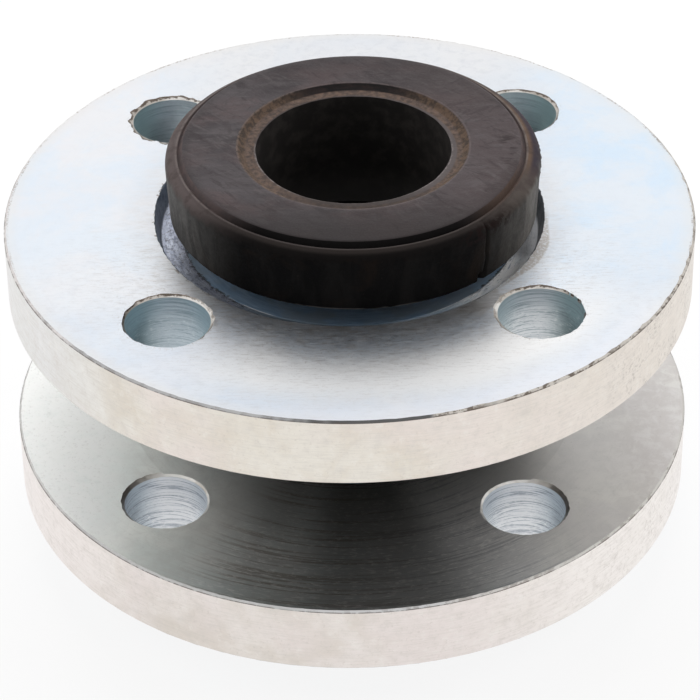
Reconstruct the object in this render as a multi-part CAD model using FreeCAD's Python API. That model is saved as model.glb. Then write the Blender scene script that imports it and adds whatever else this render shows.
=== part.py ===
import FreeCAD, Part
import math
import os

# Single-arch rubber expansion joint, DN 40, with two loose swivel flanges.
# It stands on its lower rubber bead: origin at the middle of that bead's sealing face, +Z up.
# The lower flange rests on the back of the lower bead.
# The upper flange has dropped down the neck and rests on the arch.
# All lengths are in millimetres and all angles in degrees.

# Flanges, drilled to PN 10/16
flange_diameter = 150.0
flange_thickness = 16.0
bolt_circle_diameter = 110.0
bolt_hole_diameter = 18.0
bolt_hole_count = 4
first_hole_angle = 45.0
lower_flange_turn = -3.75
edge_chamfer = 0.5
hole_chamfer = 0.6

# Seat in a flange's outer face, which takes the bead
recess_depth = 4.2
recess_side_gap = 2.6
recess_wall_draft = 15.0
bore_gap = 1.0
inner_relief_diameter = 100.0
inner_relief_depth = 0.3

# Rubber bellows
overall_length = 95.0
bore_diameter = 42.0
wall_thickness = 5.5
arch_diameter = 90.0
arch_half_width = 14.0
arch_root_radius = 6.0

# Bead at each end of the bellows
bead_thickness = 15.5
bead_diameter = 79.2
bead_draft = 3.0
bead_back_chamfer = 0.6
back_flat_width = 3.4
seat_cone_angle = 12.0

# Rounded shoulder between a bead's side and the ridge at the edge of its sealing face
shoulder_radius = 2.3
shoulder_arc_end = 70.0
shoulder_drop = 0.2

# Sealing face of a bead, with a groove and a ridge round it and a stepped mouth
edge_ridge_inset = 1.9
edge_ridge_width = 0.4
edge_ridge_depth = 1.1
edge_groove_width = 1.1
edge_groove_floor = 0.3
edge_groove_depth = 1.4
mouth_diameter = 49.7
mouth_wall_width = 1.4
mouth_depth = 1.1
lip_chamfer = 0.4

# Gap that is left where two pieces rest on each other
rest_gap = 0.3

# Sizes that follow from the ones above
neck_radius = bore_diameter / 2 + wall_thickness
bead_radius = bead_diameter / 2
seat_cone_radius = bead_radius - back_flat_width
seat_cone_slope = math.tan(math.radians(seat_cone_angle))
middle_height = overall_length / 2
inner_face_depth = flange_thickness - inner_relief_depth
bore_flare_radius = arch_root_radius - bore_gap

# Heights of the flanges' outer faces above the floor
lower_flange_height = bead_thickness + rest_gap - recess_depth
upper_flange_height = middle_height + arch_half_width + rest_gap + inner_face_depth


def point(radius, height):
    return FreeCAD.Vector(radius, 0, height)


def line(start, end):
    return Part.makeLine(point(*start), point(*end))


def arc(centre, radius, start_angle, end_angle):
    """An arc in the section plane, from its centre, radius and two angles."""
    ends = []
    for angle in (start_angle, (start_angle + end_angle) / 2, end_angle):
        turn = math.radians(angle)
        ends.append(point(centre[0] + radius * math.cos(turn), centre[1] + radius * math.sin(turn)))
    return Part.Arc(*ends).toShape()


def chain(points):
    """Straight edges from each point to the next."""
    return [line(start, end) for start, end in zip(points, points[1:])]


def revolve(edges):
    """The solid that a closed outline sweeps round the pipe's axis."""
    outline = Part.Wire(Part.__sortEdges__(edges))
    return Part.Face(outline).revolve(FreeCAD.Vector(0, 0, 0), FreeCAD.Vector(0, 0, 1), 360)


def bellows_end_outline(root, meet_angle):
    """The upper end of the section: from the arch's outer side over the bead to its inner side.

    Heights count from the arch's middle. Root is the centre of the hollow between arch and neck.
    """
    face = overall_length / 2
    back = face - bead_thickness
    cone_drop = (seat_cone_radius - neck_radius) * seat_cone_slope
    ridge_top = face - edge_ridge_depth
    groove_bottom = face - edge_groove_depth
    mouth_radius = mouth_diameter / 2
    lip_height = face - mouth_depth
    bore_radius = bore_diameter / 2

    draft = math.radians(bead_draft)
    shoulder_end = math.radians(shoulder_arc_end)
    shoulder_centre_height = ridge_top - shoulder_drop - shoulder_radius * math.sin(shoulder_end)
    side_start = (bead_radius, back + bead_back_chamfer)
    side_end_height = shoulder_centre_height - shoulder_radius * math.sin(draft)
    side_end = (bead_radius + (side_end_height - side_start[1]) * math.tan(draft), side_end_height)
    shoulder_centre = (side_end[0] - shoulder_radius * math.cos(draft), shoulder_centre_height)
    shoulder_top = (
        shoulder_centre[0] + shoulder_radius * math.cos(shoulder_end),
        shoulder_centre[1] + shoulder_radius * math.sin(shoulder_end),
    )
    ridge_outer = side_end[0] - edge_ridge_inset
    ridge_inner = ridge_outer - edge_ridge_width
    groove_outer = ridge_inner - (edge_groove_depth - edge_ridge_depth)

    edges = [arc(root, arch_root_radius, meet_angle + 180.0, 180.0)]
    edges += chain([
        (neck_radius, root[1]),
        (neck_radius, back - cone_drop),
        (seat_cone_radius, back),
        (bead_radius - bead_back_chamfer, back),
        side_start,
        side_end,
    ])
    edges.append(arc(shoulder_centre, shoulder_radius, -bead_draft, shoulder_arc_end))
    edges += chain([
        shoulder_top,
        (ridge_outer, ridge_top),
        (ridge_inner, ridge_top),
        (groove_outer, groove_bottom),
        (groove_outer - edge_groove_floor, groove_bottom),
        (ridge_inner - edge_groove_width, face),
        (mouth_radius, face),
        (mouth_radius - mouth_wall_width, lip_height),
        (bore_radius + lip_chamfer, lip_height),
        (bore_radius, lip_height - lip_chamfer),
        (bore_radius, root[1]),
    ])
    edges.append(arc(root, arch_root_radius + wall_thickness, 180.0, meet_angle + 180.0))
    return edges


def make_bellows():
    """The moulded rubber body: bead, neck, arch, neck and bead, with one bore through all.

    The arch's round crown and the hollow at its root are two circles that touch. The inner wall
    is the same pair of circles, one wall thickness further in.
    """
    crown = (arch_diameter / 2 - arch_half_width, 0.0)
    root_radius = neck_radius + arch_root_radius
    root_offset = root_radius - crown[0]
    root_height = math.sqrt((arch_half_width + arch_root_radius) ** 2 - root_offset ** 2)
    meet_angle = math.degrees(math.atan2(root_height, root_offset))

    upper = bellows_end_outline((root_radius, root_height), meet_angle)
    lower = [edge.mirror(FreeCAD.Vector(0, 0, 0), FreeCAD.Vector(0, 0, 1)) for edge in upper]
    outer_crown = arc(crown, arch_half_width, -meet_angle, meet_angle)
    inner_crown = arc(crown, arch_half_width - wall_thickness, -meet_angle, meet_angle)
    body = revolve(upper + lower + [outer_crown, inner_crown])
    body.translate(FreeCAD.Vector(0, 0, middle_height))
    return body


def bolt_hole_cutter():
    """A hole through the flange, with a chamfer at each face, on the tool's own axis."""
    radius = bolt_hole_diameter / 2
    past = 1.0
    return revolve(chain([
        (0.0, past),
        (radius + hole_chamfer + past, past),
        (radius, -hole_chamfer),
        (radius, -flange_thickness + hole_chamfer),
        (radius + hole_chamfer + past, -flange_thickness - past),
        (0.0, -flange_thickness - past),
        (0.0, past),
    ]))


def make_flange():
    """One loose flange, with its outer face up at height 0.

    The recess, its cone and the bore follow the bead and the neck that they take. The inner
    edge of the bore is rounded where it meets the arch.
    """
    radius = flange_diameter / 2
    floor_radius = bead_radius + recess_side_gap - recess_depth * math.tan(math.radians(recess_wall_draft))
    mouth_radius = bead_radius + recess_side_gap
    bore_radius = neck_radius + bore_gap
    cone_end = recess_depth + (seat_cone_radius - bore_radius) * seat_cone_slope
    relief_radius = inner_relief_diameter / 2
    flare_centre = (bore_radius + bore_flare_radius, -inner_face_depth + bore_flare_radius)

    edges = chain([
        (radius, -edge_chamfer),
        (radius - edge_chamfer, 0.0),
        (mouth_radius, 0.0),
        (floor_radius, -recess_depth),
        (seat_cone_radius, -recess_depth),
        (bore_radius, -cone_end),
        (bore_radius, flare_centre[1]),
    ])
    edges.append(arc(flare_centre, bore_flare_radius, 180.0, 270.0))
    edges += chain([
        (flare_centre[0], -inner_face_depth),
        (relief_radius, -inner_face_depth),
        (relief_radius, -flange_thickness),
        (radius - edge_chamfer, -flange_thickness),
        (radius, -flange_thickness + edge_chamfer),
        (radius, -edge_chamfer),
    ])
    flange = revolve(edges)

    holes = []
    for index in range(bolt_hole_count):
        hole = bolt_hole_cutter()
        hole.translate(FreeCAD.Vector(bolt_circle_diameter / 2, 0, 0))
        turn = first_hole_angle + index * 360.0 / bolt_hole_count
        hole.rotate(FreeCAD.Vector(0, 0, 0), FreeCAD.Vector(0, 0, 1), turn)
        holes.append(hole)
    return flange.cut(holes)


def make_upper_flange():
    """The upper flange, with its recess up, at rest on the arch."""
    flange = make_flange()
    flange.translate(FreeCAD.Vector(0, 0, upper_flange_height))
    return flange


def make_lower_flange():
    """The lower flange, with its recess down on the back of the lower bead, and turned a little."""
    flange = make_flange().mirror(FreeCAD.Vector(0, 0, 0), FreeCAD.Vector(0, 0, 1))
    flange.rotate(FreeCAD.Vector(0, 0, 0), FreeCAD.Vector(0, 0, 1), lower_flange_turn)
    flange.translate(FreeCAD.Vector(0, 0, lower_flange_height))
    return flange


def export(name, shape):
    if not shape.isValid():
        raise ValueError(name + " is not a valid shape")
    shape.exportStep(os.path.join("parts", name + ".step"))


os.makedirs("parts", exist_ok=True)
export("rubber_bellows", make_bellows())
export("upper_flange", make_upper_flange())
export("lower_flange", make_lower_flange())
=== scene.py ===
import math
import random

import bmesh
import bpy
from mathutils import Matrix, Vector, noise


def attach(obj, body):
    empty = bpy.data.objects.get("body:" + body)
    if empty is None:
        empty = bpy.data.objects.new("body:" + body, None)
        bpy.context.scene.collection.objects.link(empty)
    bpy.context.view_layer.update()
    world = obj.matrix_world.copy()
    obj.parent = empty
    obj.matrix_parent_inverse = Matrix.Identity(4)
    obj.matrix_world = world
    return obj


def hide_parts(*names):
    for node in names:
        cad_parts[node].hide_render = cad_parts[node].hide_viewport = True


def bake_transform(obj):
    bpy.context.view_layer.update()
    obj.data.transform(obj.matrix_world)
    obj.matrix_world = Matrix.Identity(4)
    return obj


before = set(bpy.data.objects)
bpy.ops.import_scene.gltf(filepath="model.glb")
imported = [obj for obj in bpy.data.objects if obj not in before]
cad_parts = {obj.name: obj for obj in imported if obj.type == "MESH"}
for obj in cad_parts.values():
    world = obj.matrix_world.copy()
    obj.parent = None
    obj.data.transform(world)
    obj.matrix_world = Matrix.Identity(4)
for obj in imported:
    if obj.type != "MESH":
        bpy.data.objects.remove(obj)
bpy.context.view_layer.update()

# Sizes of the flanges, in mm, as in the CAD source apart from the worn hole chamfers
MM = 0.001
HEIGHT = 95
FLANGE_RADIUS = 75
FLANGE_THICKNESS = 16
UPPER_FACE = 77.5
LOWER_FACE = 11.6
LOWER_TURN = -3.75
EDGE_CHAMFER = 0.5
HOLE_CIRCLE = 55
HOLE_RADIUS = 9
OUTER_HOLE_CHAMFER = 0.45
INNER_HOLE_CHAMFER = 0.75
RECESS_MOUTH = 42.2
RECESS_FLOOR = 41.07
RECESS_DEPTH = 4.2
CONE_START = 36.3
BORE_RADIUS = 27.5
CONE_END = 6.05
FLARE_RADIUS = 5
RELIEF_RADIUS = 50
RELIEF_DEPTH = 0.3

# Sizes of the rubber, in mm
FACE_RADIUS = 36.8
BEAD_THICKNESS = 15.5
BEAD_RADIUS = 39.6
SHOULDER_RADIUS = 40.2
SHOULDER_DEPTH = 3.6
SHOULDER_ROUND = 2.3
RIDGE_RADIUS = 38.1
RIDGE_DEPTH = 1.1
GROOVE_DEPTH = 1.4
MOUTH_RADIUS = 24.84
LIP_RADIUS = 23.4
MOUTH_DEPTH = 1.13
TUBE_RADIUS = 21
NECK_RADIUS = 26.5
ARCH_CENTRE = 31
ARCH_OUTER = 14
ARCH_INNER = 8.5
ROOT_OUTER = 6
ROOT_INNER = 11.5
CONE_DROP = 2.06

# Flaws of the rubber, in mm, and the angle in degrees where the finer mesh for them starts
LEAN = 1.05
LEAN_HEIGHTS = (64, 79)
PINCH = 0.85
PINCH_HEIGHTS = (90, 92.5)
SIDE_FOOT = 79.6
SIDE_INSIDE = 38.6
WIDEST_CRUMB = 41
FLAWS_START = -61
REST_PLACE = "rest_place"

# Flaws of the metal: how far the rim stays inside the CAD's rim, in mm, how far the chamfer cone
# stands aside from each bolt hole at 1 mm above the face, in mm, and how lumpy it is
RIM_INSET = 0.02
CHAMFER_OFFSETS = ((0.4, 0.3), (-0.6, 0.4), (0.3, 0.4), (-0.9, 0.3))
CHAMFER_LUMPS = (0.5, 1.7, 0.6, 0.5)

# Numbers of the materials of a flange and of the rubber
OUTER_FACE, INNER_FACE, RIM, HOLE_WALL, SEAT, RIM_EDGE, HOLE_EDGE, CONE = range(8)
SEALING_FACE, SKIN, TUBE = range(3)

# Heights between the flanges, in mm, where a value goes from the lower one's to the upper one's
BETWEEN_FLANGES = (40, 60)

# Tints of the rims, linear: ivory, pale, rose, left and right. The ivory is partly the zinc's passivation
# and partly a painted warm reflection
UPPER_RIM = (
    (0.74, 0.675, 0.58), (0.82, 0.78, 0.71), (0.82, 0.74, 0.7), (0.8, 0.81, 0.82), (0.84, 0.78, 0.72),
)
LOWER_RIM = (
    (0.73, 0.67, 0.61), (0.83, 0.78, 0.74), (0.84, 0.77, 0.75), (0.92, 0.86, 0.84), (1, 0.96, 0.93),
)

# Tints of the hole walls: light, middle, dark and blue, and how strong the rings are
UPPER_HOLE = ((0.54, 0.6, 0.64), (0.64, 0.67, 0.72), (0.28, 0.35, 0.39), (0.33, 0.47, 0.49), 0.7)
LOWER_HOLE = ((0.88, 0.9, 0.94), (0.96, 0.97, 0.99), (0.3, 0.34, 0.4), (0.52, 0.6, 0.66), 0.9)

# Tints of the rims' edges: far left, left, middle and right, painted light and shade across the front
UPPER_EDGE = ((0.74, 0.71, 0.7), (0.46, 0.46, 0.46), (0.12, 0.12, 0.12), (0.6, 0.565, 0.52))
LOWER_EDGE = ((0.62, 0.61, 0.6), (0.52, 0.52, 0.51), (0.6, 0.6, 0.6), (0.62, 0.6, 0.57))

# The photograph's camera, fitted to the rims, the bolt holes and the bead, in mm and degrees
CAMERA_DISTANCE = 741.5
CAMERA_ELEVATION = 34.054
CAMERA_ASIDE = 0.09
CAMERA_TURN = -1.09
CAMERA_ROLL = -0.735
CAMERA_AIM = (-0.26, 0, -37.34)
CAMERA_LENS = 175.28
CAMERA_SENSOR = 36

# The floor, in mm
FLOOR_REACH = 4000
FLOOR_DROP = 0.2


# Helpers for meshes
def mesh_object(name, vertices, faces):
    mesh = bpy.data.meshes.new(name)
    mesh.from_pydata([Vector(v) * MM for v in vertices], [], faces)
    mesh.update()
    obj = bpy.data.objects.new(name, mesh)
    bpy.context.scene.collection.objects.link(obj)
    return obj


def even_turns(steps):
    """Angles in radians, evenly spaced round the axis."""
    return [2 * math.pi * step / steps for step in range(steps)]


def lathe(name, profile, turns, closed=True):
    """The surface that a list of (radius, height) sweeps round Z. A closed profile makes a ring."""
    steps = len(turns)
    vertices = []
    for angle in turns:
        for radius, height in profile:
            vertices.append((radius * math.cos(angle), radius * math.sin(angle), height))
    count = len(profile)
    faces = []
    for step in range(steps):
        here = step * count
        there = (step + 1) % steps * count
        for index in range(count if closed else count - 1):
            following = (index + 1) % count
            faces.append((here + index, there + index, there + following, here + following))
    return mesh_object(name, vertices, faces)


def outward(obj):
    """Turns all faces outward."""
    mesh = bmesh.new()
    mesh.from_mesh(obj.data)
    bmesh.ops.recalc_face_normals(mesh, faces=mesh.faces)
    mesh.to_mesh(obj.data)
    mesh.free()


def smooth(obj, angle):
    obj.data.shade_smooth()
    obj.data.set_sharp_from_angle(angle=math.radians(angle))


def arc_points(centre, radius, start, end, count):
    """Points on a circle in the section plane, angles in degrees, both ends included."""
    points = []
    for index in range(count + 1):
        turn = math.radians(start + (end - start) * index / count)
        points.append((centre[0] + radius * math.cos(turn), centre[1] + radius * math.sin(turn)))
    return points


def spread(start, end, count):
    """Evenly spaced points on a straight run, without its two ends."""
    points = []
    for index in range(1, count):
        share = index / count
        points.append((start[0] + (end[0] - start[0]) * share, start[1] + (end[1] - start[1]) * share))
    return points


def near(value, middle, width):
    """A smooth hump of height 1 and the given half width."""
    share = abs(value - middle) / width
    return 0 if share >= 1 else (1 - share * share) ** 2


def smooth_share(value, low, high):
    """A smooth step from 0, at low, to 1, at high."""
    share = min(1, max(0, (value - low) / (high - low)))
    return share * share * (3 - 2 * share)


def wave(x, y, scale, third):
    """Smooth noise from about -1 to 1. The third coordinate picks the pattern."""
    return noise.noise(Vector((x * scale, y * scale, third)))


def widen(vertex, scale):
    """Moves a point away from the axis."""
    vertex.co.x *= scale
    vertex.co.y *= scale


# Helpers for materials
def put(sockets, values):
    """Sets sockets by name."""
    for key, value in values.items():
        sockets[key].default_value = value


class Nodes:
    """A material with one shader and short calls for its nodes. Positions are in mm."""

    def __init__(self, name, color, metallic, roughness, specular=0.5, bends=False):
        self.material = bpy.data.materials.new(name)
        self.material.use_nodes = True
        self.material.diffuse_color = (*color, 1)
        self.tree = self.material.node_tree
        self.shader = self.tree.nodes["Principled BSDF"]
        put(self.shader.inputs, {
            "Base Color": (*color, 1),
            "Metallic": metallic,
            "Roughness": roughness,
            "Specular IOR Level": specular,
        })
        if bends:
            place = self.node("ShaderNodeAttribute", attribute_name=REST_PLACE).outputs["Vector"]
        else:
            place = self.node("ShaderNodeTexCoord").outputs["Object"]
        scaled = self.node("ShaderNodeVectorMath", operation="SCALE")
        self.link(place, scaled.inputs[0])
        put(scaled.inputs, {"Scale": 1 / MM})
        self.place = scaled.outputs[0]
        self.x, self.y, self.z = self.split(self.place)
        self.measure(self.length(self.x, self.y))

    def node(self, kind, **settings):
        made = self.tree.nodes.new(kind)
        for key, value in settings.items():
            setattr(made, key, value)
        return made

    def link(self, source, target):
        self.tree.links.new(source, target)

    def feed(self, socket, value):
        """Takes a number, a socket, or a smooth step as a tuple that starts with a socket."""
        if isinstance(value, tuple) and isinstance(value[0], bpy.types.NodeSocket):
            value = self.step(*value)
        if isinstance(value, bpy.types.NodeSocket):
            self.link(value, socket)
        else:
            socket.default_value = value

    def split(self, place):
        made = self.node("ShaderNodeSeparateXYZ")
        self.link(place, made.inputs[0])
        return made.outputs

    def combine(self, x, y, z):
        made = self.node("ShaderNodeCombineXYZ")
        for socket, value in zip(made.inputs, (x, y, z)):
            self.feed(socket, value)
        return made.outputs[0]

    def math(self, operation, *values):
        made = self.node("ShaderNodeMath", operation=operation)
        for socket, value in zip(made.inputs, values):
            self.feed(socket, value)
        return made.outputs[0]

    def times(self, result, *values):
        for value in values:
            result = self.math("MULTIPLY", result, value)
        return result

    def plus(self, a, b):
        return self.math("ADD", a, b)

    def minus(self, a, b):
        return self.math("SUBTRACT", a, b)

    def size(self, value):
        return self.math("ABSOLUTE", value)

    def length(self, x, y):
        return self.math("SQRT", self.plus(self.times(x, x), self.times(y, y)))

    def angle(self):
        """The angle round the axis, in degrees, from -180 to 180."""
        return self.times(self.math("ARCTAN2", self.y, self.x), 180 / math.pi)

    def measure(self, radius):
        """Keeps the radius, and how far right and how far back a point lies, as shares of it."""
        self.radius = radius
        self.right = self.math("DIVIDE", self.x, radius)
        self.back = self.math("DIVIDE", self.y, radius)

    def follow_lean(self):
        """Counts x and the radius from the leaning bead's own axis."""
        self.x = self.minus(self.x, self.step(self.z, *LEAN_HEIGHTS, 0, LEAN))
        self.measure(self.length(self.x, self.y))
        pinch = self.times(
            self.step(self.right, 0.5, 1, 0, PINCH),
            self.step(self.radius, 32.6, 36.7),
            self.step(self.radius, 40.1, 37.4),
        )
        self.measure(self.plus(self.radius, self.times(pinch, self.step(self.z, *PINCH_HEIGHTS))))

    def hole(self, turn):
        """The place in the nearest bolt hole, from that hole's axis. Positive is away from X and Y."""
        spin = self.node("ShaderNodeVectorRotate", rotation_type="Z_AXIS")
        self.link(self.place, spin.inputs["Vector"])
        put(spin.inputs, {"Angle": -math.radians(turn)})
        x, y = self.split(spin.outputs[0])[:2]
        middle = HOLE_CIRCLE / math.sqrt(2)
        return self.minus(self.size(x), middle), self.minus(self.size(y), middle)

    def noise(self, place, scale, detail, rough, warp=0):
        made = self.node("ShaderNodeTexNoise")
        self.link(place, made.inputs["Vector"])
        put(made.inputs, {"Scale": scale, "Detail": detail, "Roughness": rough, "Distortion": warp})
        return made.outputs["Fac"]

    def cloud(self, *settings):
        """Noise that is alike in all directions."""
        return self.noise(self.place, *settings)

    def turned(self, reach, across, *settings):
        """Noise that changes slowly round the axis, by the reach, and fast with the value across."""
        place = self.combine(self.times(self.right, reach), self.times(self.back, reach), across)
        return self.noise(place, *settings)

    def drawn(self, share):
        """A place with its x shrunk, for marks that are long across."""
        return self.combine(self.times(self.x, share), self.y, self.z)

    def step(self, value, low, high, to_low=0, to_high=1):
        """A smooth step from to_low, at low, to to_high, at high. Low may be above high."""
        made = self.node("ShaderNodeMapRange", interpolation_type="SMOOTHSTEP")
        self.feed(made.inputs["Value"], value)
        if low > high:
            low, high, to_low, to_high = high, low, to_high, to_low
        put(made.inputs, {"From Min": low, "From Max": high, "To Min": to_low, "To Max": to_high})
        return made.outputs["Result"]

    def band(self, value, low, high, soft):
        """One between low and high, with soft edges."""
        rise = self.step(value, low - soft, low + soft)
        return self.times(rise, self.step(value, high - soft, high + soft, 1, 0))

    def by_flange(self, lower, upper):
        """One value on the lower flange and another on the upper one."""
        return self.step(self.z, *BETWEEN_FLANGES, lower, upper)

    def mix(self, share, a, b):
        """The colour between two, each a socket or (red, green, blue)."""
        made = self.node("ShaderNodeMix", data_type="RGBA")
        self.feed(made.inputs["Factor"], share)
        for key, value in (("A", a), ("B", b)):
            socket = next(s for s in made.inputs if s.name == key and s.type == "RGBA")
            self.feed(socket, value if isinstance(value, bpy.types.NodeSocket) else (*value, 1))
        return next(s for s in made.outputs if s.type == "RGBA")

    def layers(self, color, *coats):
        """Lays coats over a colour, each a tint and the shares whose product says how thick it lies."""
        for tint, *shares in coats:
            color = self.mix(self.times(*shares), color, tint)
        return color

    def bumps(self, *patterns):
        """Bumps over each other, each a pattern and its height in mm."""
        normal = None
        for pattern, height in patterns:
            made = self.node("ShaderNodeBump")
            put(made.inputs, {"Strength": 1, "Distance": height * MM})
            self.link(pattern, made.inputs["Height"])
            if normal is not None:
                self.link(normal, made.inputs["Normal"])
            normal = made.outputs["Normal"]
        return normal

    def finish(self, color, normal, roughness=None, metallic=None):
        self.link(color, self.shader.inputs["Base Color"])
        self.link(normal, self.shader.inputs["Normal"])
        for key, value in (("Roughness", roughness), ("Metallic", metallic)):
            if value is not None:
                self.feed(self.shader.inputs[key], value)
        return self.material


# Materials of the zinc-plated flanges
def zinc_face(name, turn):
    """The outer face: pale, a little blue, finely scratched, duller and browner round the recess, with
    painted light and shade in front of the bead.
    """
    n = Nodes(name, (0.79, 0.84, 0.89), 1, 0.36)
    fine = n.turned(6, n.radius, 3.2, 4, 0.6)
    coarse = n.turned(30, n.radius, 0.25, 3, 0.6)
    brushed = n.noise(n.drawn(0.35), 0.8, 5, 0.7, 0.5)
    scratch = n.noise(n.drawn(0.16), 2, 4, 0.75, 0.2)
    patch = n.cloud(0.035, 4, 0.55, 0.6)
    mottle = n.cloud(0.45, 5, 0.7, 0.4)
    grain = n.cloud(1.6, 4, 0.7)
    ahead = n.step(n.back, -0.35, -0.75)
    spot = n.angle()

    color = face_tints(n, ahead, coarse, patch, mottle)
    color = face_brushing(n, color, ahead, brushed, scratch, grain)
    color = face_wear(n, color, turn, spot, coarse, mottle, grain)
    rough = n.plus((fine, 0.3, 0.7, 0.33, 0.43), (patch, 0.35, 0.7, 0, 0.03))
    normal = n.bumps((fine, 0.008), (brushed, 0.012), (scratch, 0.008), (grain, 0.014))
    frost = n.times(n.band(spot, -52, -26, 9), (n.radius, 58, 47))
    return n.finish(color, normal, rough, (frost, 0, 1, 1, 0.5))


def face_tints(n, ahead, coarse, patch, mottle):
    """Broad tints: pale blue veils at both sides, warmer at the back and at the rim, some specks."""
    veil = n.step(n.cloud(0.07, 5, 0.62, 0.3), 0.34, 0.62)
    left_veil = n.mix(veil, (0.83, 0.9, 0.98), (0.9, 0.905, 0.935))
    right_veil = n.mix(veil, (0.72, 0.86, 1), (0.82, 0.88, 0.95))
    speck = n.step(n.cloud(2.6, 3, 0.7), 0.66, 0.76)
    return n.layers(
        n.mix((patch, 0.38, 0.64), (0.735, 0.805, 0.895), (0.86, 0.885, 0.92)),
        ((0.85, 0.845, 0.85), (n.y, 0, 60, 0, 0.6)),
        ((0.8, 0.81, 0.85), (coarse, 0.45, 0.7, 0, 0.35)),
        ((0.68, 0.7, 0.74), (mottle, 0.45, 0.7, 0, 0.4)),
        (left_veil, (n.x, -20, -50), (n.y, -45, 5, 0.25, 0.75)),
        (right_veil, (n.x, 30, 55), (n.y, -45, -15), 0.8),
        ((0.72, 0.78, 0.88), n.band(n.right, -0.66, -0.45, 0.09), ahead, 0.35),
        ((0.86, 0.83, 0.79), (n.radius, 71, 75, 0, 0.4)),
        ((0.35, 0.32, 0.3), speck, 0.1),
    )


def face_brushing(n, color, ahead, brushed, scratch, grain):
    """Brush marks, smudges and scratches, most of them in front and near the recess, with painted shade
    of the bead just in front of the recess, and painted lighter reflections further out in front.
    """
    smudge = n.turned(30, n.radius, 0.11, 3, 0.6)
    around_seat = n.step(n.radius, 52, 42)
    painted_shade_before_seat = n.times((n.radius, 56, 46), ahead)
    pale = n.times(n.band(n.radius, 53, 67, 5), ahead, (n.right, -0.62, -0.3))
    painted_sheen = n.times((n.radius, 66, 73), ahead, (n.right, -0.5, 0))
    streaks = n.times((brushed, 0.5, 0.68), (n.radius, 68, 46), (n.back, 0.2, -0.5))
    fade = n.times((n.radius, 72, 46, 0.25, 1), (n.back, 0, -0.6, 0.1, 1))
    return n.layers(
        color,
        ((0.66, 0.62, 0.59), around_seat, (brushed, 0.3, 0.7, 0.35, 1), 0.35),
        # painted light: a paler band of reflection in front of the bead
        ((0.98, 0.98, 0.98), pale, (n.right, 0, 0.35, 0.85, 1)),
        # painted reflection: bluish and light near the rim in front
        ((0.9, 0.93, 1), painted_sheen, 0.6),
        ((0.56, 0.53, 0.51), streaks, (n.right, 0, 0.5, 0.4, 0.25)),
        # painted shade of the bead just in front of the recess, broken up by smudges
        ((0.42, 0.38, 0.34), (smudge, 0.54, 0.64), painted_shade_before_seat, 0.5),
        ((0.47, 0.44, 0.42), (scratch, 0.53, 0.63), fade, 0.42),
        ((0.36, 0.32, 0.29), (grain, 0.57, 0.66), fade, 0.3),
        ((1, 1, 1), (scratch, 0.46, 0.38), fade, 0.35),
    )


def face_wear(n, color, turn, spot, coarse, mottle, grain):
    """A rubbed arc and chips at the recess, dirty rings round the holes, a dark line at the rim."""
    wide = n.times(n.band(spot, -34, -14, 7), 1.6)
    inside = n.step(n.minus(n.radius, wide), 43.5, 42.9)
    chips = n.times((n.radius, 43.1, 42.7), (n.right, -0.62, -0.72))
    ring = n.step(n.length(*n.hole(turn)), 9.5, 11.2, 1, 0)
    outline = n.times((n.radius, 73.9, 74.2), (n.back, -0.45, 0))
    return n.layers(
        color,
        ((0.48, 0.44, 0.4), inside, n.band(spot, -44, -4, 6), (grain, 0.32, 0.55), 0.8),
        ((0.24, 0.19, 0.15), chips, (mottle, 0.54, 0.6), 0.7),
        ((0.42, 0.36, 0.3), ring, (grain, 0.5, 0.7), 0.4),
        ((0.38, 0.32, 0.28), outline, (coarse, 0.46, 0.56, 0.15, 0.8), (grain, 0.44, 0.6)),
    )


def zinc_inner(name):
    """The inner face: turned, with fine arcs in front, and a chalky bloom at the far left, whose white is
    also a painted brighter reflection there.
    """
    n = Nodes(name, (0.78, 0.8, 0.78), 1, 0.4)
    fine = n.turned(2.2, n.radius, 3.4, 4, 0.65)
    arcs = n.turned(1.1, n.radius, 1.3, 4, 0.62)
    hair = n.turned(14, n.radius, 2.2, 4, 0.7)
    mottle = n.cloud(0.3, 5, 0.7, 0.5)
    grain = n.cloud(1.4, 4, 0.7)
    beside = n.size(n.plus(n.right, -0.06))
    right = n.step(n.right, -0.3, 0.5)
    left = n.step(n.right, -0.35, -0.65)
    ahead = n.step(beside, 0.4, 0.66, 1, 0.05)
    chalk = n.step(mottle, 0.25, 0.6, 0.6, 1)
    bloom = n.times((n.right, -0.55, -0.85), (n.x, -42, -62), chalk)
    streak = n.mix(right, (0.36, 0.3, 0.25), (0.42, 0.42, 0.44))

    color = n.layers(
        inner_tints(n, right, left, beside, mottle),
        (streak, (arcs, 0.5, 0.6), ahead, 0.65),
        ((1, 0.98, 0.95), (hair, 0.52, 0.64), ahead, 0.6),
        ((0.6, 0.59, 0.575), (fine, 0.45, 0.72), ahead, 0.3),
        ((0.56, 0.56, 0.54), (n.radius, 50.2, 49.8), 0.2),
        ((0.62, 0.58, 0.56), (n.x, 52, 68), (mottle, 0.35, 0.6, 0.2, 0.6)),
        ((0.25, 0.23, 0.22), (n.cloud(1.9, 3, 0.75), 0.62, 0.74), 0.3),
        # chalky zinc bloom, whose white also paints the brighter reflection at the far left
        ((1, 1, 0.985), bloom, 0.9),
        ((0.45, 0.44, 0.42), bloom, (grain, 0.54, 0.66), 0.22),
    )
    hump = n.times((beside, 0.12, 0.34, 0, 0.085), (n.radius, 74, 58, 0.25, 1))
    rough = n.plus((hair, 0.3, 0.7, 0.35, 0.42), n.times(left, 0.14))
    rough = n.minus(n.plus(rough, hump), (beside, 0.48, 0.66, 0, 0.035))
    normal = n.bumps((n.times(fine, ahead), 0.016), (n.times(hair, ahead), 0.02), (grain, 0.012))
    return n.finish(color, normal, rough, (bloom, 0, 1, 1, 0.2))


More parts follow.
